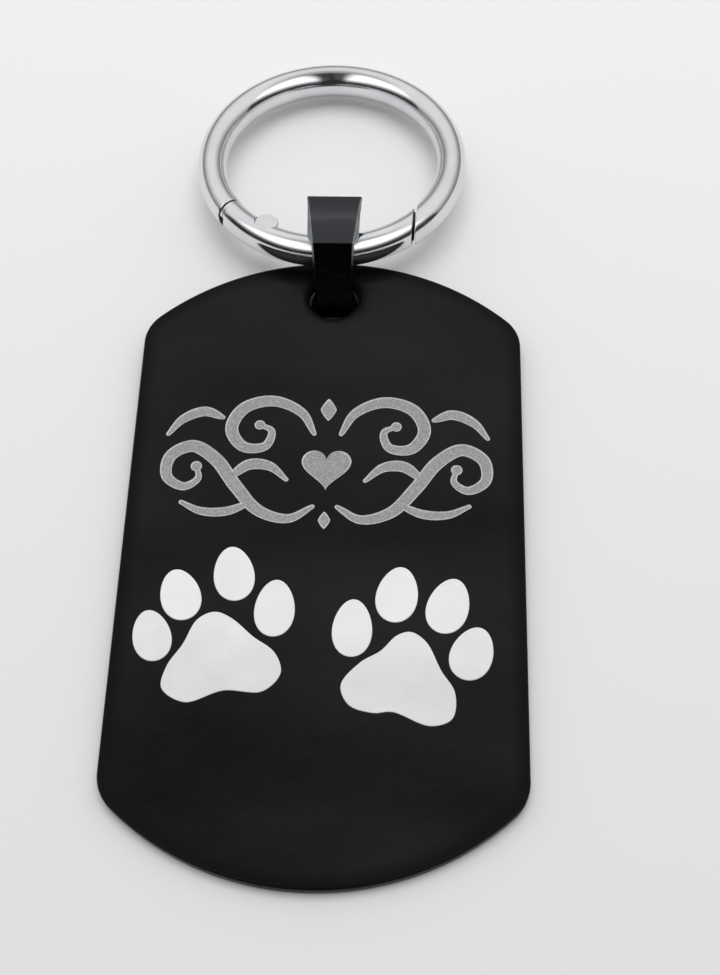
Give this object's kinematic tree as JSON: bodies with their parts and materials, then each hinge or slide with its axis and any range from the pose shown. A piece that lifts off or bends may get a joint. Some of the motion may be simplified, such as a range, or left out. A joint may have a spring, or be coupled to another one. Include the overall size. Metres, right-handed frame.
{
  "type": "pet tag",
  "caption": "Military-style pet tag: a black coated plate with white enamel paw prints, held by a folded bail on a chrome ring with a sprung gate.",
  "frame": {"origin": "centre of the plate's back face", "axes": "+Z out of the plate's engraved front, +Y along the plate towards its hole and the ring"},
  "size_m": [0.029, 0.0698, 0.0064],
  "materials": {
    "black_coated_steel": "satin black coating",
    "black_bail": "gloss blue-black coating",
    "chrome": "polished",
    "spring_steel": "plain wire",
    "white_enamel": "satin enamel"
  },
  "bodies": {
    "plate": {"tag_plate": "black_coated_steel", "paw_left_pad": "white_enamel", "paw_left_toe_1": "white_enamel", "paw_left_toe_2": "white_enamel", "paw_left_toe_3": "white_enamel", "paw_left_toe_4": "white_enamel", "paw_right_pad": "white_enamel", "paw_right_toe_1": "white_enamel", "paw_right_toe_2": "white_enamel", "paw_right_toe_3": "white_enamel", "paw_right_toe_4": "white_enamel"},
    "bail": {"bail_loop": "black_bail"},
    "gate": {"ring_gate": "chrome", "gate_hinge_pin": "chrome", "gate_spring": "spring_steel"},
    "ring": {"ring_body": "chrome"}
  },
  "joints": [
    {"name": "bail_swing", "type": "hinge", "parent": "plate", "child": "bail", "pos_m": [0, 0.02378, 0.0005], "axis": [1, 0, 0], "range_deg": [-145, 20]},
    {"name": "ring_swing", "type": "hinge", "parent": "bail", "child": "gate", "pos_m": [0, 0.0245, 0.00283], "axis": [1, 0, 0], "range_deg": [-20, 155]},
    {"name": "gate_open", "type": "hinge", "parent": "gate", "child": "ring", "pos_m": [-0.00539, 0.02652, 0.00262], "axis": [0, -0.1045, -0.9945], "range_deg": [0, 25], "stiffness_Nm_per_rad": 0.01, "springref_deg": -17.19, "deforming": ["gate_spring"]}
  ]
}
